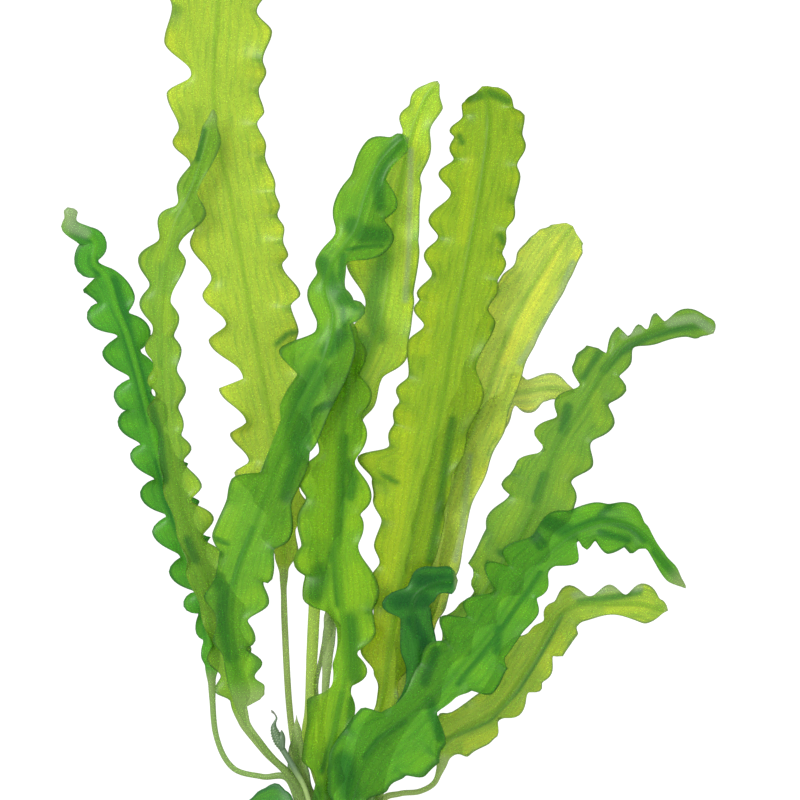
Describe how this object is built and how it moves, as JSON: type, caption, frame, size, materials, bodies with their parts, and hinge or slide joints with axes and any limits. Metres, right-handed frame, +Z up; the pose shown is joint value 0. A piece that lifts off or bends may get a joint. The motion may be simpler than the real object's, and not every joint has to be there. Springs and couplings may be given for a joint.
{
  "type": "aponogeton",
  "caption": "Ruffled water plant lying flat: wavy-edged ribbon leaves, young spears and a flower bud fanning from a tuber with short roots.",
  "frame": {"origin": "centre of the plant's footprint, on the surface it lies on", "axes": "+Y from the roots to the leaf tips, +Z up, away from the surface"},
  "size_m": [0.2959, 0.4978, 0.0339],
  "materials": {
    "pale_leaf": "satin, translucent pale yellow-green leaf with fine lengthwise veins",
    "green_leaf": "satin, translucent fresh green leaf with fine lengthwise veins",
    "dark_leaf": "satin, translucent deep green leaf with fine lengthwise veins",
    "young_leaf": "satin, pale olive-green rolled young leaf",
    "bud": "satin, dark green closed flower bud",
    "tuber": "matt, brown wrinkled skin with pale brown roots"
  },
  "bodies": {
    "root": {"tall_leaf": "pale_leaf", "pale_back_leaf": "pale_leaf", "pale_right_leaf": "pale_leaf", "hooked_back_leaf": "pale_leaf", "low_right_leaf": "pale_leaf", "inner_left_leaf": "green_leaf", "outer_left_leaf": "green_leaf", "broad_leaf": "green_leaf", "right_leaf": "green_leaf", "centre_leaf": "green_leaf", "twisted_leaf": "dark_leaf", "arching_leaf": "dark_leaf", "dark_young_leaf": "dark_leaf", "low_left_leaf": "dark_leaf", "upper_young_spear": "young_leaf", "lower_young_spear": "young_leaf", "leaf_spear": "young_leaf", "flower_bud": "bud", "tuber": "tuber"}
  },
  "joints": []
}
